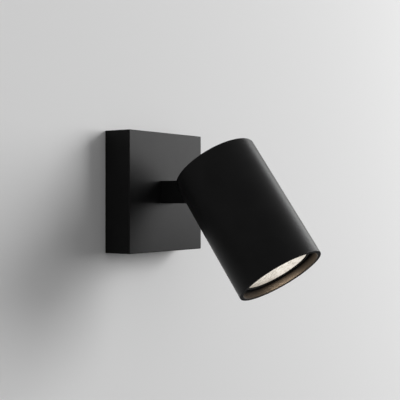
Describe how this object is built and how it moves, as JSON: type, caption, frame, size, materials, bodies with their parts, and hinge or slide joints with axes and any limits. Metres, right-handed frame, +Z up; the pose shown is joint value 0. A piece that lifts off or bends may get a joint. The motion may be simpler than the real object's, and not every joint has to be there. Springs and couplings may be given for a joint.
{
  "type": "adjustable wall spotlight",
  "caption": "Square-backed wall spotlight: a square arm swivels on the wall plate and carries a tilting cylindrical head with a twist-lock reflector lamp.",
  "frame": {"origin": "middle of the fitting on the wall plane, behind the square cover", "axes": "+Y into the wall, -Y out into the room, +Z up, X along the wall"},
  "size_m": [0.085, 0.14, 0.1157],
  "materials": {
    "black_paint": "satin",
    "black_screw": "satin",
    "zinc_steel": "satin",
    "zinc_screw": "satin",
    "black_rubber": "matte",
    "white_plastic": "satin",
    "brass": "satin",
    "tinned_brass": "satin",
    "earth_insulation": "satin",
    "lead_insulation": "satin",
    "nylon": "satin",
    "glass_fibre": "matte",
    "ceramic": "matte",
    "lamp_plastic": "satin",
    "lamp_rim": "satin",
    "lamp_lens": "satin"
  },
  "bodies": {
    "base": {"wall_bracket": "zinc_steel", "backplate_cover": "black_paint", "cover_screws": "black_screw", "entry_bush": "black_rubber", "terminal_block": "white_plastic", "terminal_bars": "brass", "terminal_screws": "zinc_screw", "terminal_fixing_screws": "zinc_screw", "earth_tag": "tinned_brass", "earth_washer": "zinc_screw", "earth_screw": "zinc_screw", "earth_lead": "earth_insulation", "base_leads": "lead_insulation"},
    "arm": {"stem": "black_paint", "threaded_tube": "zinc_steel", "outer_friction_washer": "nylon", "inner_friction_washer": "nylon", "stop_washer": "zinc_steel", "disc_spring": "zinc_steel", "lock_nut": "zinc_steel", "tube_bush": "white_plastic", "pivot_friction_washers": "nylon", "pivot_spring_washers": "zinc_steel", "pivot_screws": "zinc_screw", "lead_sleeve": "glass_fibre", "stem_leads": "lead_insulation"},
    "head": {"head_shell": "black_paint", "pivot_yoke": "zinc_steel", "lamp_plate": "zinc_steel", "lamp_plate_screws": "zinc_screw", "yoke_screws": "zinc_screw", "lampholder": "ceramic", "lampholder_contacts": "brass", "lampholder_screws": "zinc_screw", "lampholder_leads": "lead_insulation"},
    "lamp": {"lamp_base": "lamp_plastic", "lamp_body": "lamp_plastic", "lamp_bezel": "lamp_rim", "lamp_lens": "lamp_lens", "lamp_pins": "brass"}
  },
  "joints": [
    {"name": "swivel", "type": "hinge", "parent": "base", "child": "arm", "pos_m": [0, -0.0215, 0], "axis": [0, -1, 0], "range_deg": [-170, 170]},
    {"name": "tilt", "type": "hinge", "parent": "arm", "child": "head", "pos_m": [0, -0.0547, 0], "axis": [-1, 0, 0], "range_deg": [-35, 55]},
    {"name": "lamp_twist", "type": "hinge", "parent": "head", "child": "lamp", "pos_m": [0, -0.06278, 0.01897], "axis": [0, -0.5736, -0.8192], "range_deg": [0, 20]}
  ]
}
